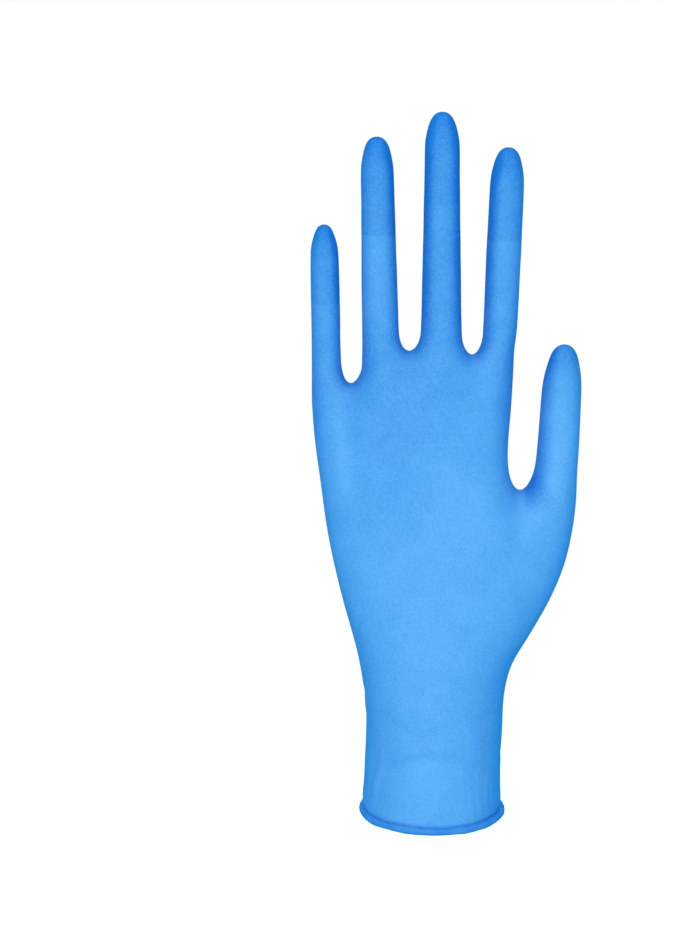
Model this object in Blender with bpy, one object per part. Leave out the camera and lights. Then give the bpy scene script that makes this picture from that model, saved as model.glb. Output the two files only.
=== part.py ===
"""Nitrile exam glove, filled out as if worn: one dipped film with a rolled bead at its cuff.

Frame: Z runs from the cuff's edge towards the fingertips, X across the palm with the thumb at +X,
and Y from the front (-Y) to the back. The origin is the middle of the wrist opening.
The glove fits either hand, so its front and its back are alike.
"""
from collections import namedtuple
from math import acos, cos, pi, sin

import bpy
import numpy as np

# Lengths in metres
CUFF_LENGTH = 0.044        # cuff's edge to where the hand starts to widen
PALM_LENGTH = 0.116        # from there to the webs of the long fingers
FINGER_LENGTH = 0.080      # from there to the middle finger's tip
THUMB_LENGTH = 0.0498      # thumb's web to the thumb's tip

# Widths across X and depths through Y
CUFF_WIDTH = 0.0468
CUFF_DEPTH = 0.0480
PALM_WIDTH = 0.0678        # across the four fingers' roots
PALM_DEPTH = 0.0370
THUMB_REACH = 0.0486       # middle of the cuff to the thumb's outer side
FINGER_WIDTH = 0.0120
FINGER_DEPTH = 0.0130
THUMB_WIDTH = 0.0138
THUMB_DEPTH = 0.0150
FINGER_GAP = 0.0073        # clear space between two fingers
THUMB_GAP = 0.0102         # clear space between the index finger's side and the thumb

# The film and its rolled edge
FILM_WALL = 0.0011
BEAD_DIAMETER = 0.0026

# Where the palm lies across the cuff's middle, as shares of its width
LITTLE_SIDE = -0.610
INDEX_SIDE = 0.390

# Points on half a ring, one side to the other
TRUNK_STEPS = 12
PALM_STEPS = 10
FINGER_STEPS = 4

# Rings of the cuff and the hand up to the thumb's web.
# up: share of the cuff's length, then of the palm's. left, right: from the cuff's half width (0) to the
# palm's side or the thumb's reach (1). flat: from the cuff's depth (0) to the palm's (1).
# square: how full the section's corners are, 2 for an ellipse. spread: from points spaced evenly around
# the cuff (0) to points lined up with the fingers (1). rise: how much higher the thumb's side lies,
# as a share of the palm's length.
TrunkRow = namedtuple("TrunkRow", "up left right flat square spread rise")
CUFF_ROWS = (
    TrunkRow(0.150, 0.030, 0.012, -0.02, 2.0, 0.00, 0.000),
    TrunkRow(0.480, -0.020, 0.005, 0.02, 2.0, 0.00, 0.000),
    TrunkRow(0.860, -0.012, 0.025, 0.10, 2.0, 0.00, 0.000),
)
HAND_ROWS = (
    TrunkRow(0.060, 0.070, 0.104, 0.26, 2.0, 0.06, 0.000),
    TrunkRow(0.150, 0.192, 0.322, 0.46, 2.0, 0.16, 0.000),
    TrunkRow(0.240, 0.362, 0.560, 0.66, 2.0, 0.30, 0.002),
    TrunkRow(0.335, 0.525, 0.765, 0.82, 2.1, 0.50, 0.006),
    TrunkRow(0.425, 0.650, 0.900, 0.94, 2.1, 0.74, 0.018),
    TrunkRow(0.520, 0.755, 0.975, 1.00, 2.2, 1.00, 0.042),
)

# Where the points of the thumb's web ring and of the fingers' web ring lie, as shares of the way across
THUMB_WEB_COLUMNS = (0.0, 0.020, 0.075, 0.158, 0.258, 0.362, 0.470, 0.578, 0.680, 0.775, 0.918, 0.985, 1.0)
THUMB_WEB_COLUMN = 9
FINGER_WEB_COLUMNS = (0.0, 0.018, 0.076, 0.199, 0.342, 0.487, 0.641, 0.794, 0.915, 0.985, 1.0)

# Rings of the palm between the thumb's web and the fingers' webs.
# up: share of the way between the two web rings. left, right: share of the way to the palm's sides.
# deep: share of the palm's depth. valley: how deep the valleys between the fingers' roots are left.
PalmRow = namedtuple("PalmRow", "up left right deep valley")
PALM_ROWS = (
    PalmRow(0.270, 0.926, 0.940, 0.97, 1.00),
    PalmRow(0.520, 0.962, 0.932, 0.91, 1.00),
    PalmRow(0.770, 0.988, 0.965, 0.82, 0.96),
    PalmRow(1.000, 0.998, 0.985, 0.71, 0.74),
)
PALM_SQUARE = 2.4
THUMB_VALLEY = 0.74        # depth left where the thumb's web meets the palm
VALLEY_ONSET = 4           # how late up the hand that valley starts

# Webs, from the little finger to the thumb: x as a share of the palm's width, up as a share of its length,
# wide: how wide the gap above it is, a share of the gap between two fingers
Web = namedtuple("Web", "x up wide")
WEBS = (
    Web(-0.4135, 0.9175, 0.90),
    Web(-0.1265, 1.0090, 0.96),
    Web(0.1815, 0.9965, 0.97),
)
THUMB_WEB = Web(0.4290, 0.6000, 1.00)
WEB_DROP = 0.036           # how far below a web the palm's valley point lies, as a share of PALM_LENGTH

# Long fingers, from the little finger on. tip: x of the tip, a share of the palm's width.
# wide, deep: shares of the finger's width and depth. reach: share of the finger length above the web line.
Finger = namedtuple("Finger", "name tip wide deep reach")
FINGERS = (
    Finger("little", -0.5470, 0.815, 0.84, 0.539),
    Finger("ring", -0.2920, 0.985, 0.98, 0.901),
    Finger("middle", 0.0235, 1.015, 1.00, 1.000),
    Finger("index", 0.3470, 0.970, 0.98, 0.856),
)
THUMB_TIP_REACH = 0.886    # x of the thumb's tip, a share of its reach
THUMB_ROOT_SIDES = (0.993, 1.000)    # the thumb's outer side above its web, shares of its reach
LITTLE_ROOT_SIDES = (1.00, 1.00)     # the little finger's outer side there, shares of the palm's side
INDEX_ROOT_SIDES = (1.00, 1.03)      # the index finger's outer side there

# Rings of a finger's foot. out: share of the gap that is open beside it. up: height above the web, a
# share of the gap. full: from the finger's own depth (0) to the palm's depth under it (1).
FootRow = namedtuple("FootRow", "out up full")
FOOT_ROWS = (
    FootRow(0.37, 0.45, 0.58),
    FootRow(0.50, 1.30, 0.16),
)

# Rings of a finger's shaft and of its domed tip.
# up: share of the way from the foot to the dome, then from the dome's foot to its top.
# wide: share of the finger's width.
TubeRow = namedtuple("TubeRow", "up wide")
SHAFT_ROWS = (
    TubeRow(0.50, 1.000),
    TubeRow(1.00, 0.985),
)
DOME_ROWS = (
    TubeRow(0.40, 0.930),
    TubeRow(0.66, 0.822),
    TubeRow(0.87, 0.590),
)
DOME_HEIGHT = 1.25         # of the finger's width
SETTLED = 0.62             # share of the shaft by which the foot's width has become the finger's

# The rolled edge's section, from inside the cuff round its underside to above it.
# out: from the film's outer face outward, up: from the glove's lowest edge, shares of the bead's diameter.
BeadPoint = namedtuple("BeadPoint", "out up")
BEAD_INSIDE = (
    BeadPoint(-0.385, 0.880),
    BeadPoint(-0.250, 0.160),
)
BEAD_OUTSIDE = (
    BeadPoint(0.200, 0.000),
    BeadPoint(0.620, 0.250),
    BeadPoint(0.640, 0.700),
    BeadPoint(0.300, 0.990),
    BeadPoint(0.000, 1.250),
)

FIT_ROUNDS = 4
FILM_BLUE = (0.070, 0.300, 0.860, 1.0)
FILM_ROUGHNESS = 0.42


def mix(low, high, share):
    """Value that lies a share of the way from low to high."""
    return low + (high - low) * share


def palm_height(share):
    """Height of a share of the palm's length."""
    return CUFF_LENGTH + PALM_LENGTH * share


def side_depth(across, square):
    """Share of a section's depth at a share of its half width."""
    return max(0.0, 1.0 - abs(across) ** square) ** (1.0 / square)


def closed_ring(front):
    """Ring of points from one side along the front to the other side, and back along the back."""
    back = [(x, -y, z) for x, y, z in front[-2:0:-1]]
    return list(front) + back


class Cage:
    """Points and four-sided faces of a closed skin."""

    def __init__(self):
        self.points = []
        self.faces = []

    def add(self, ring):
        """Adds a ring's points and returns their numbers."""
        first = len(self.points)
        self.points.extend(ring)
        return list(range(first, len(self.points)))

    def bridge(self, low, high):
        """Faces between two rings of as many points, facing out when the second lies above."""
        count = len(low)
        for k in range(count):
            after = (k + 1) % count
            self.faces.append((low[k], low[after], high[after], high[k]))

    def cap(self, ring, top):
        """Closes a ring of eight points over one top point."""
        for k in range(0, len(ring), 2):
            self.faces.append((ring[k], ring[k + 1], ring[(k + 2) % len(ring)], top))


def trunk_ring(height, row):
    """One ring around the cuff or the lower hand."""
    left = -mix(CUFF_WIDTH / 2, -LITTLE_SIDE * PALM_WIDTH, row.left)
    right = mix(CUFF_WIDTH / 2, THUMB_REACH, row.right)
    depth = mix(CUFF_DEPTH, PALM_DEPTH, row.flat) / 2
    front = []
    for k, column in enumerate(THUMB_WEB_COLUMNS):
        even = pi * k / TRUNK_STEPS
        lined = acos(1 - 2 * column)
        across = -cos(mix(even, lined, row.spread))
        valley = mix(1.0, THUMB_VALLEY, row.spread ** VALLEY_ONSET) if k == THUMB_WEB_COLUMN else 1.0
        x = mix(left, right, (across + 1) / 2)
        y = -depth * side_depth(across, row.square) * valley
        z = height + row.rise * PALM_LENGTH * max(0.0, across) ** 2
        front.append((x, y, z))
    return closed_ring(front)


def web_heights():
    """Heights of the points of the fingers' web ring: low under each web, higher under each finger."""
    valleys = [palm_height(web.up - WEB_DROP) for web in WEBS]
    valleys = [valleys[0], *valleys, valleys[-1]]
    heights = [valleys[0]]
    for low, high in zip(valleys, valleys[1:]):
        heights += [low, (low + high) / 2]
    return heights + [valleys[-1], valleys[-1]]


def palm_ring(row, below):
    """One ring around the palm, a share of the way up from the thumb's web ring."""
    left = LITTLE_SIDE * PALM_WIDTH * row.left
    right = INDEX_SIDE * PALM_WIDTH * row.right
    web_column = THUMB_WEB_COLUMNS[THUMB_WEB_COLUMN]
    low_heights = [point[2] for point in below[: PALM_STEPS]]
    low_heights.append(low_heights[-1])
    front = []
    for k, high in enumerate(web_heights()):
        low_column = min(1.0, THUMB_WEB_COLUMNS[k] / web_column) if k < PALM_STEPS else 1.0
        high_column = FINGER_WEB_COLUMNS[k]
        column = mix(min(low_column, high_column), high_column, row.up)
        across = 2 * column - 1
        valley = row.valley if k % 2 and 1 < k < PALM_STEPS - 1 else 1.0
        y = -PALM_DEPTH / 2 * row.deep * side_depth(across, PALM_SQUARE) * valley
        front.append((mix(left, right, column), y, mix(low_heights[k], high, row.up)))
    return closed_ring(front)


def oval_ring(left, right, depth):
    """Ring of eight points between a left and a right side point, both (x, z)."""
    middle = ((left[0] + right[0]) / 2, (left[1] + right[1]) / 2)
    half = ((right[0] - left[0]) / 2, (right[1] - left[1]) / 2)
    front = []
    for k in range(FINGER_STEPS + 1):
        turn = pi * k / FINGER_STEPS
        x = middle[0] - half[0] * cos(turn)
        z = middle[1] - half[1] * cos(turn)
        front.append((x, -depth * sin(turn), z))
    return closed_ring(front)


def tube(cage, base, sides, width, depth, tip):
    """Finger or thumb over its base ring: foot, shaft and domed tip.

    sides holds the foot rings' left and right side points, tip the tip's x and z.
    """
    ring = base
    palm_deep = -cage.points[base[2]][1]
    for row, (left, right) in zip(FOOT_ROWS, sides):
        step = cage.add(oval_ring(left, right, mix(depth / 2, palm_deep, row.full)))
        cage.bridge(ring, step)
        ring = step
    (left_x, left_z), (right_x, right_z) = sides[-1]
    foot = ((left_x + right_x) / 2, (left_z + right_z) / 2)
    foot_width = right_x - left_x
    slope = (right_z - left_z) / foot_width
    dome_foot = tip[1] - DOME_HEIGHT * width
    for row in SHAFT_ROWS:
        center_x = mix(foot[0], tip[0], row.up * (dome_foot - foot[1]) / (tip[1] - foot[1]))
        center_z = mix(foot[1], dome_foot, row.up)
        half = mix(foot_width, width * row.wide, min(1.0, row.up / SETTLED)) / 2
        tilt = half * slope * (1 - row.up) ** 2
        step = cage.add(oval_ring((center_x - half, center_z - tilt), (center_x + half, center_z + tilt),
                                  depth / 2 * row.wide))
        cage.bridge(ring, step)
        ring = step
    for row in DOME_ROWS:
        half = width / 2 * row.wide
        height = mix(dome_foot, tip[1], row.up)
        center_x = mix(foot[0], tip[0], (height - foot[1]) / (tip[1] - foot[1]))
        step = cage.add(oval_ring((center_x - half, height), (center_x + half, height), depth / 2 * row.wide))
        cage.bridge(ring, step)
        ring = step
    top, = cage.add([(tip[0], 0.0, tip[1])])
    cage.cap(ring, top)


def web_point(web):
    """The bottom of a web, as x and z."""
    return web.x * PALM_WIDTH, palm_height(web.up)


def beside(web, gap, side):
    """Foot ring side points of the tube that stands on one side of a web, +1 for its right."""
    x, z = web_point(web)
    open_gap = gap * web.wide
    return [(x + side * open_gap * row.out, z + open_gap * row.up) for row in FOOT_ROWS]


def outer_side(reach, shares, partner):
    """Foot ring side points on an outer side, level with those on the web's side."""
    return [(reach * share, z) for share, (_, z) in zip(shares, partner)]


def hand_skin(cage, ring):
    """Film over the hand and its fingers, from the ring under the hand upward."""
    rows = [(CUFF_LENGTH * row.up, row) for row in CUFF_ROWS]
    rows += [(palm_height(row.up), row) for row in HAND_ROWS]
    for height, row in rows:
        points = trunk_ring(height, row)
        step = cage.add(points)
        cage.bridge(ring, step)
        ring = step
    thumb_web = web_point(THUMB_WEB)
    crotch, = cage.add([(thumb_web[0], 0.0, thumb_web[1])])
    near, far = THUMB_WEB_COLUMN, 2 * TRUNK_STEPS - THUMB_WEB_COLUMN
    thumb_base = [crotch] + ring[near: far + 1]
    thumb_inner = beside(THUMB_WEB, THUMB_GAP, 1)
    thumb_outer = outer_side(THUMB_REACH, THUMB_ROOT_SIDES, thumb_inner)
    thumb_tip = (THUMB_REACH * THUMB_TIP_REACH, thumb_web[1] + THUMB_LENGTH)
    tube(cage, thumb_base, list(zip(thumb_inner, thumb_outer)), THUMB_WIDTH, THUMB_DEPTH, thumb_tip)

    palm = ring[: near + 1] + [crotch] + ring[far:]
    for row in PALM_ROWS:
        step = cage.add(palm_ring(row, points))
        cage.bridge(palm, step)
        palm = step
    crotches = [palm[0]]
    for web in WEBS:
        x, z = web_point(web)
        crotches += cage.add([(x, 0.0, z)])
    crotches.append(palm[PALM_STEPS])
    lefts = [None] + [beside(web, FINGER_GAP, 1) for web in WEBS]
    rights = [beside(web, FINGER_GAP, -1) for web in WEBS] + [None]
    for k, finger in enumerate(FINGERS):
        first = 1 + 2 * k
        front = palm[first: first + 3]
        back = palm[2 * PALM_STEPS - first - 2: 2 * PALM_STEPS - first + 1]
        base = [crotches[k]] + front + [crotches[k + 1]] + back
        left = lefts[k] or outer_side(LITTLE_SIDE * PALM_WIDTH, LITTLE_ROOT_SIDES, rights[k])
        right = rights[k] or outer_side(INDEX_SIDE * PALM_WIDTH, INDEX_ROOT_SIDES, lefts[k])
        tip = (finger.tip * PALM_WIDTH, palm_height(1.0) + FINGER_LENGTH * finger.reach)
        tube(cage, base, list(zip(left, right)), FINGER_WIDTH * finger.wide, FINGER_DEPTH * finger.deep, tip)


def bead_ring(point):
    """One ring of the rolled edge, around the cuff."""
    out = point.out * BEAD_DIAMETER
    front = []
    for k in range(TRUNK_STEPS + 1):
        turn = pi * k / TRUNK_STEPS
        x = -(CUFF_WIDTH / 2 + out) * cos(turn)
        y = -(CUFF_DEPTH / 2 + out) * sin(turn)
        front.append((x, y, point.up * BEAD_DIAMETER))
    return closed_ring(front)


def corner_sums(faces, points):
    """For each point its number of faces, the sum of its neighbours and of the corners opposite."""
    count = np.zeros(len(points))
    beside_sum = np.zeros_like(points)
    opposite_sum = np.zeros_like(points)
    for k in range(4):
        here = faces[:, k]
        np.add.at(count, here, 1)
        np.add.at(beside_sum, here, points[faces[:, (k + 1) % 4]])
        np.add.at(opposite_sum, here, points[faces[:, (k + 2) % 4]])
    return count[:, None], beside_sum, opposite_sum


def fitted(faces, wanted):
    """Cage points whose smooth subdivision surface passes through the wanted points."""
    cage_points = wanted.copy()
    for _ in range(FIT_ROUNDS):
        count, near, opposite = corner_sums(faces, cage_points)
        surface = (count ** 2 * cage_points + 4 * near + opposite) / (count * (count + 5))
        cage_points += wanted - surface
    return cage_points


def point_normals(faces, points):
    """Unit normals at the points of an open skin."""
    across = points[faces[:, 2]] - points[faces[:, 0]]
    along = points[faces[:, 3]] - points[faces[:, 1]]
    face_normals = np.cross(across, along)
    normals = np.zeros_like(points)
    for k in range(4):
        np.add.at(normals, faces[:, k], face_normals)
    lengths = np.linalg.norm(normals, axis=1)
    return normals / np.where(lengths, lengths, 1.0)[:, None]


def glove_cage():
    """Points and faces of the whole film: outer skin, inner skin and the rolled edge between them."""
    outer = Cage()
    edge = outer.add(bead_ring(BEAD_OUTSIDE[0]))
    ring = edge
    for point in BEAD_OUTSIDE[1:]:
        step = outer.add(bead_ring(point))
        outer.bridge(ring, step)
        ring = step
    neck = ring
    first_film = len(outer.faces)
    hand_skin(outer, neck)

    outer_points = np.array(outer.points)
    film_faces = np.array(outer.faces[first_film:])
    normals = point_normals(film_faces, outer_points)
    inner_points = outer_points - FILM_WALL * normals
    shift = len(outer_points)
    inner_faces = [tuple(int(k) + shift for k in face[::-1]) for face in film_faces]

    points = [tuple(p) for p in outer_points] + [tuple(p) for p in inner_points]
    faces = list(outer.faces) + inner_faces
    rim = Cage()
    rim.points = points
    ring = [k + shift for k in neck]
    for point in BEAD_INSIDE:
        step = rim.add(bead_ring(point))
        rim.bridge(ring, step)
        ring = step
    rim.bridge(ring, edge)
    return used_only(np.array(rim.points), np.array(faces + rim.faces))


def used_only(points, faces):
    """The same skin without the points that no face uses."""
    used = np.unique(faces)
    number = np.full(len(points), -1)
    number[used] = np.arange(len(used))
    return points[used], number[faces]


def film_material():
    """Blue nitrile rubber with a satin face."""
    material = bpy.data.materials.new("blue_nitrile")
    material.use_nodes = True
    shader = material.node_tree.nodes["Principled BSDF"]
    shader.inputs["Base Color"].default_value = FILM_BLUE
    shader.inputs["Roughness"].default_value = FILM_ROUGHNESS
    shader.inputs["Metallic"].default_value = 0.0
    return material


def build_glove():
    """The glove as one object."""
    points, faces = glove_cage()
    mesh = bpy.data.meshes.new("glove")
    mesh.from_pydata(fitted(faces, points).tolist(), [], faces.tolist())
    mesh.update()
    mesh.shade_smooth()
    mesh.materials.append(film_material())
    glove = bpy.data.objects.new("glove", mesh)
    bpy.context.scene.collection.objects.link(glove)
    smooth = glove.modifiers.new("smooth_film", "SUBSURF")
    smooth.levels = 1
    smooth.render_levels = 1
    return glove


def main():
    for item in list(bpy.data.objects):
        bpy.data.objects.remove(item, do_unlink=True)
    build_glove()


main()
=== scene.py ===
"""Looks of a nitrile exam glove: the thin satin film, its rolled cuff edge, and a plain white studio."""

from collections import namedtuple
from math import cos, pi, radians, sin

import bmesh
import bpy
import numpy as np
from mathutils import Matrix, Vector, noise
from mathutils.bvhtree import BVHTree


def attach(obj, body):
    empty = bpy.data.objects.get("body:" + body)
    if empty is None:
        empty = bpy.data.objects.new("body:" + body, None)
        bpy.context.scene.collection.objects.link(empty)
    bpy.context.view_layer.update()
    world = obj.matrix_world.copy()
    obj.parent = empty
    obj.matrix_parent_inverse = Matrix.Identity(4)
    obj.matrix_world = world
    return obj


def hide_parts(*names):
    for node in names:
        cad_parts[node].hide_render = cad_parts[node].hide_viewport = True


# Sizes are in metres, in the frame's own axes: X across the palm, -Y to the front, Z to the fingertips
MM = 1000.0                  # millimetres in a metre, for the lists that are in millimetres

# The film's mesh
FILM_SHOWN = 0.0004          # thickness of the film as it is shown
FILM_CELL = 0.00104          # size of the film's mesh cells
WELD = 0.00001               # points closer than this are one point
GUIDE_LEVELS = 2             # rounds of subdivision that make the hard form smooth
WEB_PROBES = 60              # looks between two fingers for the lowest point

# Noise round the rolled edge: how fine it is, and a shift that gives it a pattern of its own
RingNoise = namedtuple("RingNoise", "scale shift")

# The rolled edge
BEAD_HEIGHT = 0.0026         # of the rolled edge over its lowest point
BEAD_CLEAR = 0.0005          # plain film starts this far above the rolled edge
BEAD_STEPS = 480
BEAD_SIDES = 28
BEAD_SWELL = 0.085           # uneven thickness, a share of the radius
BEAD_COARSE = RingNoise(5.0, (2, 0, 0))
BEAD_FINE = RingNoise(12.0, (0, 0, 0))
BEAD_FINE_SHARE = 0.5
BEAD_STRAY = 0.00030         # how far the roll strays up and down
STRAY_NOISE = RingNoise(3.0, (0, 7, 0))
LIP_STEP = 0.05              # step where the film's own edge ends on the roll, a share of the radius
LIP_TURN = 58.0              # degrees above level where that edge lies, on the outer side
LIP_STRAY = 26.0             # degrees that it strays from there
LIP_NOISE = RingNoise(2.2, (4, 4, 0))
LIP_SHARP = 0.07             # radians that the step itself takes
LIP_REACH = 0.9              # radians over which it runs out on both sides

# Soft unevenness of the film: its size, its height, and a seed that gives it a pattern of its own
Relief = namedtuple("Relief", "size height seed")
SWELL = Relief(0.032, 0.00030, 3.1)
DIMPLE = Relief(0.0090, 0.00006, 8.4)
SLACK = Relief(0.012, 0.00030, 1.7)     # looser film on the cuff
SLACK_FULL = 0.042           # height up to which it is loosest
SLACK_TOP = 0.072            # height from which it is tight
FLARE = 0.00035              # how far the film widens towards the rolled edge
FLARE_HEIGHT = 0.0045

# Fine upright gathers round the cuff, above the rolled edge
GATHER = Relief(0.012, 0.00011, 5.5)
GATHER_COUNT = 44
GATHER_TOP = 0.028
GATHER_MEAN = 0.6            # their usual strength
GATHER_CHANGE = 0.9          # how much it changes round the cuff
GATHER_LEAN = 4.0            # radians that their places stray

# Creases and hollows of the film on the cuff, as lines on the cuff rolled out flat.
# turn: degrees from the front's middle towards the thumb, up: millimetres above the cuff's edge,
# bow: millimetres that the line arches sideways, wide and deep: in millimetres. A deep below 0 is a ridge.
Crease = namedtuple("Crease", "turn up end_turn end_up bow wide deep")
CREASES = (
    Crease(-60, 14.0, 22, 26.0, 4.4, 2.1, 0.72),
    Crease(6, 26.5, 44, 17.0, 1.6, 2.2, 0.42),
    Crease(-44, 29.0, -62, 6.0, -0.8, 1.3, -0.42),
    Crease(-46, 39.5, -6, 33.0, -1.2, 1.8, 0.34),
    Crease(-24, 90.5, 20, 91.5, 0.4, 1.2, 0.08),
    Crease(-52, 27.0, -70, 7.0, 0.4, 1.6, 0.11),
    Crease(49, 26.0, 38, 7.0, 0.8, 1.5, 0.10),
    Crease(64, 44.0, 30, 31.0, -1.5, 3.2, 0.16),
    Crease(-96, 34.0, -70, 37.0, 0.6, 1.5, 0.22),
    Crease(-112, 42.0, -78, 46.0, -1.0, 1.8, 0.20),
    Crease(96, 24.0, 72, 21.0, 0.8, 1.6, 0.16),
    Crease(88, 37.0, 112, 30.0, -1.2, 1.7, 0.20),
    Crease(118, 12.0, 150, 24.0, 2.0, 1.5, 0.15),
    Crease(-122, 9.0, -140, 27.0, 1.2, 1.4, 0.13),
    Crease(170, 30.0, 206, 22.0, -1.8, 1.6, 0.15),
    Crease(196, 14.0, 226, 17.0, 1.0, 1.4, 0.11),
    Crease(160, 9.0, 172, 24.0, 0.8, 1.4, -0.10),
    Crease(-34, 17.0, 30, 17.0, 0.0, 9.0, -0.34),
    Crease(146, 17.0, 214, 16.0, 0.0, 9.0, -0.30),
)
CREASE_END = 1.15            # square of the share of its half length where a crease has run out
CREASE_FADE = 1.5            # power of its fading towards the ends
RIM_SHARE = 0.30             # raised rim along one side, a share of the depth
RIM_PLACE = 1.8              # widths from the crease's line to the rim
RIM_WIDE = 1.3               # widths

# From the little finger to the thumb: the length of the fingertip's textured zone, how much deeper
# its blue is there, how much deeper it is along the whole finger, how much more it deepens to the tip,
# how much narrower than a plain dome the tip is, and how far below the tip it is narrowed most
Finger = namedtuple("Finger", "textured zone_depth depth tip_depth pinch pinch_at")
FINGERS = (
    Finger(0.0256, 0.12, -0.02, 0.03, 0.115, 0.0018),
    Finger(0.0318, 0.21, -0.15, 0.05, 0.035, 0.0030),
    Finger(0.0298, 0.08, 0.02, 0.04, 0.055, 0.0022),
    Finger(0.0300, 0.13, -0.08, 0.04, 0.055, 0.0026),
    Finger(0.0270, 0.00, -0.03, 0.27, 0.085, 0.0048),
)
MIDDLE = 2                   # the middle finger's place in that list
FINGER_REACH = 0.010         # to each side of a fingertip this holds its own finger alone
FINGER_RISE = 0.020          # the finger's own depth builds up over this, above its webs
PINCH_REACH = 0.0036         # for the least pinch_at, and half of what pinch_at is more
PINCH_END = 0.0180           # below the tip, where the narrowing has run out
TIP_LIFT = 0.00035           # of the tip itself over a plain dome
LIFT_REACH = 0.0016
FAR_OFF = 9.0                # stands for a place that belongs to no finger

# Webs, from the little finger to the thumb, worn a little deeper and rounder than the hard form under them.
# drop: how much lower they lie, deep: painted shade, how much deeper the blue is below them where the
# fingers shade the web, halo: how far that reaches, shift: how far its middle lies towards the thumb,
# through: share of a distance from front to back that counts in it
Web = namedtuple("Web", "drop deep halo shift through")
WEBS = (
    Web(0.0011, 0.10, 0.0070, 0.0, 1.0),
    Web(0.0010, 0.10, 0.0070, 0.0, 1.0),
    Web(0.0007, 0.10, 0.0070, 0.0, 1.0),
    Web(0.0, 0.28, 0.0088, 0.0044, 0.35),
)
HALO_CORE = 0.40             # share of the halo that is evenly deep
DROP_REACH = 0.0040          # how far around its web a drop reaches
SOFT_INNER = 0.0040          # the mesh is smoothed fully this near a web
SOFT_OUTER = 0.0100          # and not at all this far from it
SOFT_ROUNDS = 12
SOFT_FACTOR = 0.5

# Painted shade: how much deeper the blue is where the film turns sideways, away from the light, and more on
# the sides that face the middle finger, where the fingers shade each other
SIDE_SHADE = 0.17
SIDE_START = 0.30            # sideways share of the way it faces, from where that counts
INNER_SHADE = 0.34
INNER_START = -0.0105        # a side begins to count where that finger's middle lies this far ahead of it
INNER_FULL = -0.0065         # and counts fully here. Below 0 the middle lies behind it, as in that finger.
INNER_LEFT = 0.25            # share of INNER_SHADE that is left at the fingers' webs
THUMB_INNER_LEFT = 0.95      # and at the thumb's
INNER_RISE = 0.024           # over which it builds up above them

# How much deeper it is on the four fingers, where the film is less stretched, than on the palm and thumb
FINGER_DEEP = 0.33
BASE_DEEP = 0.15             # on the whole glove
FINGER_START = 0.117         # height where the fingers' deeper blue starts
FINGER_FULL = 0.152          # height from which it is full
THUMB_SIDE = 0.030           # past this in X lies the thumb

# Painted light and shade: soft streaks of a paler or deeper blue, the paler ones painted light and the
# deeper ones painted shade. x and z of both ends and how wide, in millimetres, and how much deeper the blue
# is. They run up the palm from the little finger's side to the thumb's, but for the last, a painted paler
# patch which lies on the cuff.
Streak = namedtuple("Streak", "x z end_x end_z wide deep")
LIGHT_AND_SHADE_STREAKS = (
    Streak(-33.8, 154, -28.8, 106, 2.4, -0.17),
    Streak(-27.2, 146, -22.6, 102, 4.4, 0.12),
    Streak(-16.0, 144, -10.0, 98, 9.0, 0.16),
    Streak(5.0, 166, 12.0, 130, 8.0, -0.08),
    Streak(17.6, 162, 18.6, 112, 4.2, -0.15),
    Streak(-15.0, 16, 15.0, 16, 9.0, -0.11),
)

# Colours
FILM_PALE = (0.166, 0.515, 0.955, 1.0)
FILM_DEEP = (0.016, 0.225, 0.700, 1.0)
FILL_COLOR = (0.036, 0.456, 0.720, 1.0)
KEY_COLOR = (0.97, 0.62, 0.42)
SHEEN_COLOR = (0.50, 0.60, 0.72)
FLOOR_COLOR = (0.9, 0.9, 0.9, 1.0)
WHITE = (1.0, 1.0, 1.0, 1.0)

# Fine patterns of the materials, as noise: waves in a metre, how much finer detail it has, and how strong
# that detail is. Such noise lies between NOISE_LOW and NOISE_HIGH nearly everywhere.
Pattern = namedtuple("Pattern", "scale detail rough")
CLOUD = Pattern(130.0, 3.0, 0.5)
SPECK = Pattern(1300.0, 2.0, 0.7)
GRAIN = Pattern(1500.0, 3.0, 0.6)
PEBBLE = Pattern(1050.0, 1.0, 0.4)
BEAD_CLOUD = Pattern(160.0, 3.0, 0.5)
BEAD_GRAIN = Pattern(1100.0, 3.0, 0.5)
NOISE_LOW = 0.3
NOISE_HIGH = 0.7

# The film's material. All that ends in DEEP says how much deeper the blue is.
TIP_DEEP = 0.30              # at the tips
TIP_FADE = 0.50              # share of the textured zone over which that fades
ZONE_SOFT = 0.015            # half the soft edge of the textured zone, a share of its length
BEAD_GAP_SHADE = 0.45             # painted shadow just above the rolled edge, in the gap between the film and the roll
BEAD_GAP_TOP = 0.0040            # height where that ends
CLOUD_DEEP = 0.045           # up and down from cloud to cloud
SPECK_DEEP = 0.12            # up and down from speck to speck
FILM_ROUGH = (0.44, 0.54)
ZONE_ROUGH = 0.06            # more in the textured zone
FILM_GLOSS = 0.18
GRAIN_SHARE = 0.5            # height of the grain beside the pebbles of the textured zone
FILM_BUMP = (0.30, 0.00016)  # strength and height

# The rolled edge's material. How deep its blue is, and how rough it is, change from cloud to cloud.
BEAD_DEEP = (0.55, 0.80)
BEAD_ROUGH = (0.36, 0.48)
BEAD_GLOSS = 0.30
BEAD_BUMP = (0.2, 0.00012)   # strength and height

# Places of a Mix node's colour sockets, which have the same names as its sockets for numbers
MIX_FIRST = 6
MIX_SECOND = 7
MIX_RESULT = 2

# Soft panels of light. sheen: the film only mirrors the panel, or else is only lit by it.
Panel = namedtuple("Panel", "name place power size color sheen")
PANELS = (
    Panel("front_panel", (-0.16, -1.15, 0.60), 13.6, 0.60, KEY_COLOR, False),
    Panel("sheen_panel", (-0.16, -1.15, 0.60), 5.4, 0.60, SHEEN_COLOR, True),
    Panel("back_panel", (0.0, 1.20, 0.30), 7.0, 0.40, KEY_COLOR, False),
)
PANEL_AIM = (0.0, 0.0, 0.12)

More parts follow.
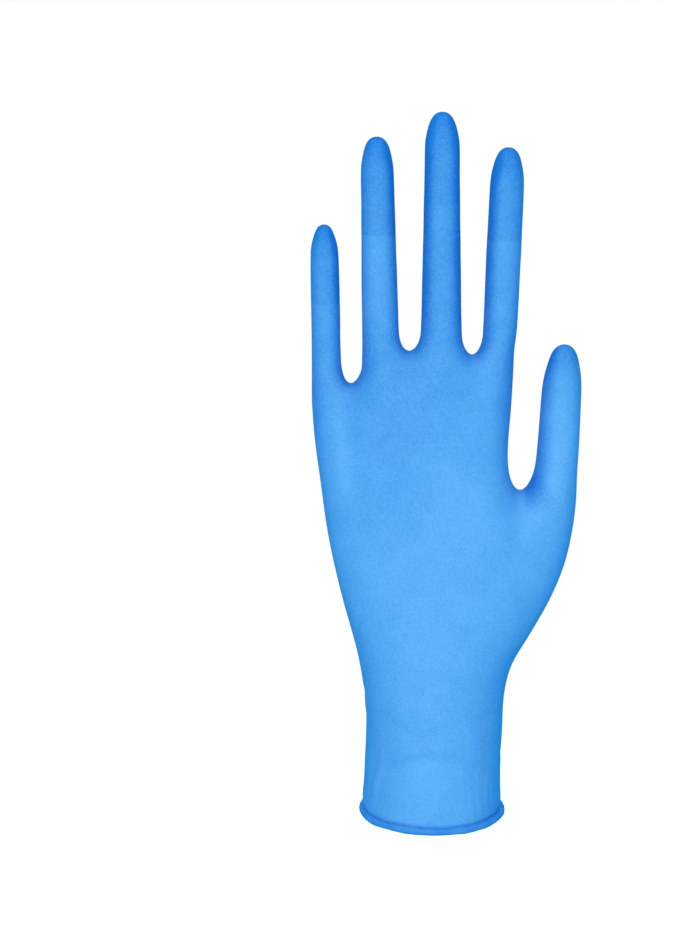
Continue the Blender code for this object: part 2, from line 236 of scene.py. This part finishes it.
# Camera and floor
LENS = 90.0                  # millimetres, as the sensor
SENSOR_HEIGHT = 36.0
CAMERA_AIM = (-0.0330, 0.0, 0.1200)
CAMERA_RISE = 11.0           # degrees above level
CAMERA_FAR = 0.7940          # from the point that it aims at
FLOOR_REACH = 2.2
FLOOR_HEIGHT = -0.62
FLOOR_ROUGH = 0.9
FLOOR_GLOW = 1.0


def new_object(name, data):
    """Adds an object to the scene."""
    item = bpy.data.objects.new(name, data)
    bpy.context.scene.collection.objects.link(item)
    return item


def remove_object(item):
    """Takes a helper object and its mesh away."""
    mesh = item.data
    bpy.data.objects.remove(item, do_unlink=True)
    bpy.data.meshes.remove(mesh)


def mesh_object(name, bm):
    """Turns finished bmesh work into an object."""
    mesh = bpy.data.meshes.new(name)
    bm.to_mesh(mesh)
    bm.free()
    return new_object(name, mesh)


def apply_modifiers(item):
    """Turns an object's modifiers into its mesh."""
    graph = bpy.context.evaluated_depsgraph_get()
    mesh = bpy.data.meshes.new_from_object(item.evaluated_get(graph))
    item.modifiers.clear()
    old = item.data
    item.data = mesh
    bpy.data.meshes.remove(old)


def smooth_step(low, high, value):
    """0 at low and 1 at high, with a soft way between. low may lie above high."""
    share = np.clip((value - low) / (high - low), 0.0, 1.0)
    return share * share * (3 - 2 * share)


def coordinates(mesh):
    """A mesh's points as an array."""
    co = np.zeros(len(mesh.vertices) * 3)
    mesh.vertices.foreach_get("co", co)
    return co.reshape(-1, 3)


def normals(mesh):
    """The way a mesh faces at each of its points, as an array."""
    facing = np.zeros(len(mesh.vertices) * 3)
    mesh.vertex_normals.foreach_get("vector", facing)
    return facing.reshape(-1, 3)


def set_coordinates(mesh, co):
    """Moves a mesh's points."""
    mesh.vertices.foreach_set("co", co.ravel())
    mesh.update()


def set_value(mesh, name, values):
    """Stores one number per point under a name that a material can read."""
    attribute = mesh.attributes.new(name, "FLOAT", "POINT")
    attribute.data.foreach_set("value", values.astype(np.float32))


def surface_tree(item):
    """Search tree over an object's faces."""
    bm = bmesh.new()
    bm.from_mesh(item.data)
    tree = BVHTree.FromBMesh(bm)
    bm.free()
    return tree


def connected_groups(bm):
    """The mesh's faces in connected groups."""
    left = set(bm.faces)
    groups = []
    while left:
        group = set()
        open_faces = [left.pop()]
        while open_faces:
            face = open_faces.pop()
            group.add(face)
            for edge in face.edges:
                for other in edge.link_faces:
                    if other in left:
                        left.remove(other)
                        open_faces.append(other)
        groups.append(group)
    return groups


def outer_guide(node):
    """The solid's outer skin above its rolled edge, made smooth and fine."""
    bm = bmesh.new()
    bm.from_mesh(node.data)
    bmesh.ops.remove_doubles(bm, verts=bm.verts[:], dist=WELD)
    film_start = BEAD_HEIGHT + BEAD_CLEAR
    low = [face for face in bm.faces if min(v.co.z for v in face.verts) < film_start]
    bmesh.ops.delete(bm, geom=low, context="FACES")
    widest = max(connected_groups(bm), key=lambda group: max(v.co.x for face in group for v in face.verts))
    inner = [face for face in bm.faces if face not in widest]
    bmesh.ops.delete(bm, geom=inner, context="FACES")
    bmesh.ops.join_triangles(
        bm, faces=bm.faces[:], angle_face_threshold=pi, angle_shape_threshold=pi, topology_influence=1.0)
    guide = mesh_object("guide", bm)
    smooth = guide.modifiers.new("smooth", "SUBSURF")
    smooth.levels = GUIDE_LEVELS
    smooth.render_levels = GUIDE_LEVELS
    apply_modifiers(guide)
    return guide


def closed_film(guide):
    """The guide's surface in even cells, closed and lengthened at its lower end."""
    bm = bmesh.new()
    bm.from_mesh(guide.data)
    rim = [edge for edge in bm.edges if edge.is_boundary]
    grown = bmesh.ops.extrude_edge_only(bm, edges=rim)["geom"]
    for item in grown:
        if isinstance(item, bmesh.types.BMVert):
            item.co.z = -BEAD_HEIGHT
    bmesh.ops.contextual_create(bm, geom=[edge for edge in bm.edges if edge.is_boundary])
    bmesh.ops.recalc_face_normals(bm, faces=bm.faces[:])
    film = mesh_object("film", bm)
    cells = film.modifiers.new("cells", "REMESH")
    cells.mode = "VOXEL"
    cells.voxel_size = FILM_CELL
    apply_modifiers(film)
    return film


def even_film(guide, tree):
    """The guide's surface in even cells, with its lower edge inside the rolled edge."""
    film = closed_film(guide)
    co = coordinates(film.data)
    for k in np.flatnonzero(co[:, 2] > BEAD_HEIGHT + BEAD_CLEAR):
        co[k] = tree.find_nearest(Vector(co[k]))[0]
    set_coordinates(film.data, co)

    bm = bmesh.new()
    bm.from_mesh(film.data)
    bmesh.ops.bisect_plane(
        bm, geom=bm.verts[:] + bm.edges[:] + bm.faces[:], dist=WELD,
        plane_co=(0, 0, BEAD_HEIGHT / 2), plane_no=(0, 0, -1), clear_outer=True)
    bm.to_mesh(film.data)
    bm.free()
    return film


def fingertips(guide):
    """The top point of each finger, from the little finger to the thumb: points above all beside them."""
    mesh = guide.data
    co = coordinates(mesh)
    ends = np.zeros(len(mesh.edges) * 2, dtype=int)
    mesh.edges.foreach_get("vertices", ends)
    first, second = ends.reshape(-1, 2).T
    highest = np.ones(len(co), dtype=bool)
    highest[first[co[first, 2] <= co[second, 2]]] = False
    highest[second[co[second, 2] <= co[first, 2]]] = False
    return sorted(co[highest], key=lambda tip: tip[0])


def find_webs(tree, tips):
    """The lowest point between each two neighbouring fingers, in the middle plane."""
    found = []
    for left, right in zip(tips, tips[1:]):
        above = max(left[2], right[2]) + WELD
        hits = []
        for x in np.linspace(left[0], right[0], WEB_PROBES):
            hit = tree.ray_cast(Vector((x, 0.0, above)), Vector((0, 0, -1)))[0]
            hits.append((hit.z, x))
        low, x = min(hits)
        found.append(np.array((x, 0.0, low)))
    return found


def soft_noise(co, size, seed):
    """Soft noise from -1 to 1 at each point."""
    shift = Vector((seed, -seed, seed / 2))
    return np.array([noise.noise(Vector(p) / size + shift) for p in co])


def crease_shape(turn, up, radius, crease):
    """How deep one crease presses each point in. turn is in degrees, lengths are in metres."""
    middle = (crease.turn + crease.end_turn) / 2
    around = (turn - middle + 180) % 360 - 180
    u = radians(1) * around * radius
    v = up - (crease.up + crease.end_up) / (2 * MM)
    half_u = radians(crease.end_turn - crease.turn) * radius / 2
    half_v = (crease.end_up - crease.up) / (2 * MM)
    half = np.hypot(half_u, half_v)
    along = (u * half_u + v * half_v) / half ** 2
    side = (-u * half_v + v * half_u) / half
    side = side - crease.bow / MM * (1 - along ** 2)
    across = side / (crease.wide / MM)
    fade = np.clip(CREASE_END - along ** 2, 0, 1) ** CREASE_FADE
    rim = RIM_SHARE * np.exp(-((across - RIM_PLACE) / RIM_WIDE) ** 2)
    return crease.deep / MM * fade * (np.exp(-across ** 2) - rim)


def film_relief(co):
    """How far the film stands out at each point: soft swells, gathers over the rolled edge and creases."""
    low = co[co[:, 2] < 2 * BEAD_HEIGHT]
    center = (low.min(0) + low.max(0)) / 2
    radius = (low.max(0) - low.min(0))[:2].mean() / 2
    turn = np.arctan2(co[:, 0] - center[0], -(co[:, 1] - center[1]))
    up = co[:, 2]

    out = SWELL.height * soft_noise(co, SWELL.size, SWELL.seed)
    out += SLACK.height * smooth_step(SLACK_TOP, SLACK_FULL, up) * soft_noise(co, SLACK.size, SLACK.seed)
    out += DIMPLE.height * soft_noise(co, DIMPLE.size, DIMPLE.seed)
    wander = soft_noise(co, GATHER.size, GATHER.seed)
    strength = smooth_step(GATHER_TOP, BEAD_HEIGHT, up) * (GATHER_MEAN + GATHER_CHANGE * wander)
    out += GATHER.height * strength * np.sin(GATHER_COUNT * turn + GATHER_LEAN * wander)
    out += FLARE * np.exp(-((up - BEAD_HEIGHT) / FLARE_HEIGHT) ** 2)
    for crease in CREASES:
        out -= crease_shape(np.degrees(turn), up, radius, crease)
    return out


def point_tips(co, tips):
    """Draws the fingertips a little narrower and higher than plain domes."""
    for tip, finger in zip(tips, FINGERS):
        own = (np.abs(co[:, 0] - tip[0]) < FINGER_REACH) & (co[:, 2] > tip[2] - PINCH_END)
        below = tip[2] - co[own, 2]
        reach = PINCH_REACH + (finger.pinch_at - FINGERS[0].pinch_at) / 2
        share = 1 - finger.pinch * np.exp(-((below - finger.pinch_at) / reach) ** 2)
        co[own, 0] = tip[0] + (co[own, 0] - tip[0]) * share
        co[own, 1] *= share
        co[own, 2] += TIP_LIFT * np.exp(-(below / LIFT_REACH) ** 2)


def round_off(item, weights):
    """Smooths an object's mesh as far as the weight of each point says."""
    group = item.vertex_groups.new(name="soft")
    for k in np.flatnonzero(weights > 0):
        group.add([int(k)], float(weights[k]), "REPLACE")
    soften = item.modifiers.new("soften", "SMOOTH")
    soften.factor = SOFT_FACTOR
    soften.iterations = SOFT_ROUNDS
    soften.vertex_group = group.name
    apply_modifiers(item)
    item.vertex_groups.clear()


def tip_distance(co, tips):
    """How far each point of a finger lies below its tip, as a share of the tip's textured zone."""
    far = np.full(len(co), FAR_OFF)
    for tip, finger in zip(tips, FINGERS):
        own = np.abs(co[:, 0] - tip[0]) < FINGER_REACH
        far[own] = (tip[2] - co[own, 2]) / finger.textured
    return far


def zone_depth(co, tips):
    """How much deeper the blue is in each finger's textured zone."""
    depth = np.zeros(len(co))
    for tip, finger in zip(tips, FINGERS):
        depth[np.abs(co[:, 0] - tip[0]) < FINGER_REACH] = finger.zone_depth
    return depth


def finger_depth(co, tips, web_points):
    """How much deeper the blue is along each whole finger, above the webs beside it."""
    depth = np.zeros(len(co))
    for k, (tip, finger) in enumerate(zip(tips, FINGERS)):
        top_web = max(web[2] for web in web_points[max(k - 1, 0):k + 1])
        own = np.abs(co[:, 0] - tip[0]) < FINGER_REACH
        depth[own] = finger.depth * smooth_step(top_web, top_web + FINGER_RISE, co[own, 2])
        depth[own] += finger.tip_depth * smooth_step(finger.textured, 0.0, tip[2] - co[own, 2])
    return depth


def finger_tone_and_side_shade(co, facing, middle, web_points):
    """How much deeper the blue is on the four fingers, plus painted shade on the film's sides and on the
    sides that face the middle finger. middle: the middle finger's X.
    """
    inward = np.sign(facing[:, 0]) * (middle - co[:, 0])
    inner = smooth_step(INNER_START, INNER_FULL, inward)
    on_hand = co[:, 0] < THUMB_SIDE
    level = np.where(on_hand, web_points[1][2], web_points[-1][2])
    left = np.where(on_hand, INNER_LEFT, THUMB_INNER_LEFT)
    inner *= left + (1 - left) * smooth_step(level, level + INNER_RISE, co[:, 2])
    finger = smooth_step(FINGER_START, FINGER_FULL, co[:, 2]) * on_hand
    # Painted shade: deeper where the film turns sideways, and more on the sides that face the middle finger
    side = smooth_step(SIDE_START, 1.0, np.abs(facing[:, 0])) * (SIDE_SHADE + INNER_SHADE * inner)
    return side + FINGER_DEEP * finger


def web_painted_shade(co, web_points):
    """Painted shade: how much deeper the blue is in the halo below each web, where the fingers shade it."""
    depth = np.zeros(len(co))
    for point, web in zip(web_points, WEBS):
        far = np.linalg.norm((co - point - (web.shift, 0.0, 0.0)) * (1.0, web.through, 1.0), axis=1)
        depth += web.deep * smooth_step(web.halo, web.halo * HALO_CORE, far)
    return depth


def painted_streaks(co):
    """How much deeper the blue is in the streaks: painted light where it is paler, painted shade where it
    is deeper.
    """
    depth = np.zeros(len(co))
    for streak in LIGHT_AND_SHADE_STREAKS:
        half = np.array((streak.end_x - streak.x, streak.end_z - streak.z)) / (2 * MM)
        middle = np.array((streak.end_x + streak.x, streak.end_z + streak.z)) / (2 * MM)
        length = np.hypot(*half)
        off = co[:, [0, 2]] - middle
        along = off @ half / length ** 2
        across = (off[:, 0] * half[1] - off[:, 1] * half[0]) / length / (streak.wide / MM)
        depth += streak.deep * np.clip(1 - along ** 2, 0, 1) * np.exp(-across ** 2)
    return depth


def shape_film(film, tips, web_points):
    """Gives the film its tips, webs and relief. Returns its points without the relief, and their facing."""
    co = coordinates(film.data)
    facing = normals(film.data)
    relief = film_relief(co)
    far = np.array([np.linalg.norm(co - point, axis=1) for point in web_points])
    drops = np.array([web.drop for web in WEBS])
    drop = drops[:, None] * np.exp(-(far / DROP_REACH) ** 2)
    point_tips(co, tips)
    co[:, 2] -= drop.sum(0)
    set_coordinates(film.data, co + facing * relief[:, None])
    round_off(film, smooth_step(SOFT_OUTER, SOFT_INNER, far.min(0)))
    return co, facing


def film_piece(node):
    """The thin film over the hand and the cuff."""
    guide = outer_guide(node)
    tree = surface_tree(guide)
    film = even_film(guide, tree)
    tips = fingertips(guide)
    web_points = find_webs(tree, tips)
    remove_object(guide)

    co, facing = shape_film(film, tips, web_points)
    # depth: the glove's own deeper blue, plus painted shade on the sides, between the fingers and below the
    # webs, and painted light and shade in the streaks
    depth = BASE_DEEP + finger_tone_and_side_shade(co, facing, tips[MIDDLE][0], web_points)
    depth += finger_depth(co, tips, web_points)
    depth += web_painted_shade(co, web_points)
    depth += painted_streaks(co)
    set_value(film.data, "depth", depth)
    set_value(film.data, "tip_far", tip_distance(co, tips))
    set_value(film.data, "zone_depth", zone_depth(co, tips))

    wall = film.modifiers.new("wall", "SOLIDIFY")
    wall.thickness = FILM_SHOWN
    wall.offset = -1.0
    apply_modifiers(film)
    film.data.shade_smooth()
    return film


def ring_noise(way, pattern):
    """Soft noise from -1 to 1 at one place of the rolled edge. way points there from the middle."""
    return noise.noise(way * pattern.scale + Vector(pattern.shift))


def bead_radius(way, side):
    """Radius of the roll at one point: uneven, with a small step where the film's own edge ends."""
    swell = ring_noise(way, BEAD_COARSE) + BEAD_FINE_SHARE * ring_noise(way, BEAD_FINE)
    lip = radians(LIP_TURN + LIP_STRAY * ring_noise(way, LIP_NOISE))
    off = (side - lip + pi) % (2 * pi) - pi
    step = LIP_STEP * (0.5 - 1 / (1 + np.exp(-off / LIP_SHARP))) * np.exp(-(off / LIP_REACH) ** 2)
    return BEAD_HEIGHT / 2 * (1.0 + BEAD_SWELL * swell + step)


def bead_section(center, half, turn):
    """The points round the roll at one place of the edge. half: how far the edge reaches in X and Y."""
    way = Vector((cos(turn), sin(turn), 0))
    x = center[0] + half[0] * cos(turn)
    y = center[1] + half[1] * sin(turn)
    spot = Vector((x, y, BEAD_HEIGHT / 2 + BEAD_STRAY * ring_noise(way, STRAY_NOISE)))
    points = []
    for j in range(BEAD_SIDES):
        side = 2 * pi * j / BEAD_SIDES
        out = bead_radius(way, side)
        points.append(spot + way * (out * cos(side)) + Vector((0, 0, out * sin(side))))
    return points


def ring_faces():
    """The faces between all sections of the roll, which closes on itself."""
    faces = []
    for k in range(BEAD_STEPS):
        here = k * BEAD_SIDES
        after = (k + 1) % BEAD_STEPS * BEAD_SIDES
        for j in range(BEAD_SIDES):
            up = (j + 1) % BEAD_SIDES
            faces.append((here + j, after + j, after + up, here + up))
    return faces


def bead_piece(node):
    """The rolled edge: the film wound on itself."""
    co = coordinates(node.data)
    low = co[co[:, 2] < BEAD_HEIGHT]
    center = (low.max(0) + low.min(0)) / 2
    half = (low.max(0) - low.min(0)) / 2 - BEAD_HEIGHT / 2
    points = []
    for k in range(BEAD_STEPS):
        points += bead_section(center, half, 2 * pi * k / BEAD_STEPS)
    mesh = bpy.data.meshes.new("cuff_bead")
    mesh.from_pydata(points, [], ring_faces())
    mesh.update()
    mesh.shade_smooth()
    return new_object("cuff_bead", mesh)


class Nodes:
    """Small helper that adds shader nodes and links them."""

    def __init__(self, material):
        material.use_nodes = True
        self.tree = material.node_tree
        self.shader = self.tree.nodes["Principled BSDF"]

    def add(self, kind, **settings):
        """A new node with its settings."""
        node = self.tree.nodes.new(kind)
        for name, value in settings.items():
            setattr(node, name, value)
        return node

    def feed(self, socket, value):
        """Gives a socket a plain value or a link."""
        if isinstance(value, (int, float, tuple)):
            socket.default_value = value
        else:
            self.tree.links.new(value, socket)

    def finish(self, color, rough, gloss):
        """Gives the shader its colour, its roughness and the strength of its mirroring."""
        self.feed(self.shader.inputs["Base Color"], color)
        self.feed(self.shader.inputs["Roughness"], rough)
        self.feed(self.shader.inputs["Specular IOR Level"], gloss)

    def place(self):
        """Where a point lies, in the object's own metres."""
        return self.add("ShaderNodeTexCoord").outputs["Object"]

    def height(self):
        """How high a point lies."""
        node = self.add("ShaderNodeSeparateXYZ")
        self.feed(node.inputs[0], self.place())
        return node.outputs["Z"]

    def math(self, operation, first, second):
        """One sum, product or other step of arithmetic."""
        node = self.add("ShaderNodeMath", operation=operation)
        self.feed(node.inputs[0], first)
        self.feed(node.inputs[1], second)
        return node.outputs[0]

    def total(self, first, *others):
        """The sum of two or more values."""
        for other in others:
            first = self.math("ADD", first, other)
        return first

    def ramp(self, value, low, high, start, end):
        """A soft way from start to end while value goes from low to high."""
        node = self.add("ShaderNodeMapRange", interpolation_type="SMOOTHSTEP")
        names = ("Value", "From Min", "From Max", "To Min", "To Max")
        for name, number in zip(names, (value, low, high, start, end)):
            self.feed(node.inputs[name], number)
        return node.outputs[0]

    def noise(self, pattern):
        """Soft noise in one of the patterns."""
        node = self.add("ShaderNodeTexNoise")
        self.feed(node.inputs["Vector"], self.place())
        self.feed(node.inputs["Scale"], pattern.scale)
        self.feed(node.inputs["Detail"], pattern.detail)
        self.feed(node.inputs["Roughness"], pattern.rough)
        return node.outputs["Fac"]

    def spread(self, noise_value, start, end):
        """A soft way from start to end over the values that noise has."""
        return self.ramp(noise_value, NOISE_LOW, NOISE_HIGH, start, end)

    def blend(self, share, first, second):
        """Colour between two colours."""
        node = self.add("ShaderNodeMix", data_type="RGBA")
        self.feed(node.inputs[0], share)
        self.feed(node.inputs[MIX_FIRST], first)
        self.feed(node.inputs[MIX_SECOND], second)
        return node.outputs[MIX_RESULT]

    def value(self, name):
        """Number stored on the mesh."""
        return self.add("ShaderNodeAttribute", attribute_name=name).outputs["Fac"]

    def bump(self, relief, strength, distance):
        """Fine relief from a height."""
        node = self.add("ShaderNodeBump")
        self.feed(node.inputs["Strength"], strength)
        self.feed(node.inputs["Distance"], distance)
        self.feed(node.inputs["Height"], relief)
        self.feed(self.shader.inputs["Normal"], node.outputs[0])


def film_material():
    """Satin nitrile: pale where it is stretched and deeper on the fingers and at the tips, with painted
    shade on the sides, between the fingers, below the webs and just above the rolled edge, and painted
    light and shade in soft streaks.
    """
    material = bpy.data.materials.new("nitrile_film")
    nodes = Nodes(material)
    speck = nodes.noise(SPECK)
    tip_far = nodes.value("tip_far")
    textured = nodes.ramp(tip_far, 1 - ZONE_SOFT, 1 + ZONE_SOFT, 1.0, 0.0)

    tip = nodes.ramp(tip_far, 0.0, TIP_FADE, TIP_DEEP, 0.0)
    zone = nodes.math("MULTIPLY", textured, nodes.value("zone_depth"))
    # Painted shadow: deeper blue just above the rolled edge, in the gap between the film and the roll
    bead_gap_shade = nodes.ramp(nodes.height(), BEAD_HEIGHT, BEAD_GAP_TOP, BEAD_GAP_SHADE, 0.0)
    clouds = nodes.spread(nodes.noise(CLOUD), -CLOUD_DEEP, CLOUD_DEEP)
    specks = nodes.spread(speck, -SPECK_DEEP, SPECK_DEEP)
    # This sum holds painted light and shade: the stored depth carries painted shade on the sides, between
    # the fingers and below the webs and painted light and shade in the streaks, and the ramp just above the
    # rolled edge is painted shadow
    deep = nodes.total(tip, zone, nodes.value("depth"), bead_gap_shade, clouds, specks)
    rough = nodes.total(nodes.spread(speck, *FILM_ROUGH), nodes.math("MULTIPLY", textured, ZONE_ROUGH))
    nodes.finish(nodes.blend(deep, FILM_PALE, FILM_DEEP), rough, FILM_GLOSS)

    grain = nodes.math("MULTIPLY", nodes.noise(GRAIN), GRAIN_SHARE)
    pebbles = nodes.math("MULTIPLY", nodes.noise(PEBBLE), textured)
    nodes.bump(nodes.total(grain, pebbles), *FILM_BUMP)
    return material


def bead_material():
    """The rolled edge: the same film, many layers thick, so its blue is deeper."""
    material = bpy.data.materials.new("nitrile_bead")
    nodes = Nodes(material)
    cloud = nodes.noise(BEAD_CLOUD)
    color = nodes.blend(nodes.spread(cloud, *BEAD_DEEP), FILM_PALE, FILM_DEEP)
    nodes.finish(color, nodes.spread(cloud, *BEAD_ROUGH), BEAD_GLOSS)
    nodes.bump(nodes.noise(BEAD_GRAIN), *BEAD_BUMP)
    return material


def white_surround():
    """White behind the glove, and soft blue fill light all round, as from light that passes the film."""
    world = bpy.data.worlds.new("surround")
    world.use_nodes = True
    bpy.context.scene.world = world
    tree = world.node_tree
    path = tree.nodes.new("ShaderNodeLightPath")
    pick = tree.nodes.new("ShaderNodeMix")
    pick.data_type = "RGBA"
    tree.links.new(path.outputs["Is Camera Ray"], pick.inputs[0])
    pick.inputs[MIX_FIRST].default_value = FILL_COLOR
    pick.inputs[MIX_SECOND].default_value = WHITE
    tree.links.new(pick.outputs[MIX_RESULT], tree.nodes["Background"].inputs["Color"])


def floor_piece():
    """Plain white floor, well below the glove, which is held up."""
    bm = bmesh.new()
    bmesh.ops.create_grid(bm, x_segments=1, y_segments=1, size=FLOOR_REACH)
    floor = mesh_object("floor", bm)
    floor.location.z = FLOOR_HEIGHT
    material = bpy.data.materials.new("floor")
    nodes = Nodes(material)
    nodes.feed(nodes.shader.inputs["Base Color"], FLOOR_COLOR)
    nodes.feed(nodes.shader.inputs["Roughness"], FLOOR_ROUGH)
    nodes.feed(nodes.shader.inputs["Emission Color"], WHITE)
    nodes.feed(nodes.shader.inputs["Emission Strength"], FLOOR_GLOW)
    floor.data.materials.append(material)
    floor.visible_diffuse = False
    floor.visible_glossy = False
    return floor


def light_panel(panel):
    """One soft panel of light, which the camera doesn't see."""
    light = bpy.data.lights.new(panel.name, "AREA")
    light.color = panel.color
    light.shape = "SQUARE"
    light.size = panel.size
    light.energy = panel.power
    item = new_object(panel.name, light)
    item.visible_camera = False
    item.visible_glossy = panel.sheen
    item.visible_diffuse = not panel.sheen
    item.location = panel.place
    way = Vector(PANEL_AIM) - Vector(panel.place)
    item.rotation_euler = way.to_track_quat("-Z", "Y").to_euler()


def camera():
    """The photograph's view: a little from above."""
    data = bpy.data.cameras.new("camera")
    data.sensor_fit = "VERTICAL"
    data.sensor_height = SENSOR_HEIGHT
    data.lens = LENS
    item = new_object("camera", data)
    rise = radians(CAMERA_RISE)
    back = Vector((0.0, -cos(rise), sin(rise)))
    item.location = Vector(CAMERA_AIM) + back * CAMERA_FAR
    item.rotation_euler = (-back).to_track_quat("-Z", "Y").to_euler()
    bpy.context.scene.camera = item


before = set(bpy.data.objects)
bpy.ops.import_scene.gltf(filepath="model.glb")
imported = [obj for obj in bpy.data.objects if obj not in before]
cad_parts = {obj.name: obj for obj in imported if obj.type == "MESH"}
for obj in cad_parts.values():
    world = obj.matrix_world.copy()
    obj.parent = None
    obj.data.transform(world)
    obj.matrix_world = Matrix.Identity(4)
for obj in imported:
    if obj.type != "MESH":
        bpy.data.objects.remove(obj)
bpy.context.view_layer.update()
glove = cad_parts["glove"]

film = film_piece(glove)
film.data.materials.append(film_material())
bead = bead_piece(glove)
bead.data.materials.append(bead_material())
for piece in (film, bead):
    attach(piece, "root")
    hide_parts("glove")

floor_piece()
white_surround()
for panel in PANELS:
    light_panel(panel)
camera()
bpy.context.scene.view_settings.view_transform = "Standard"
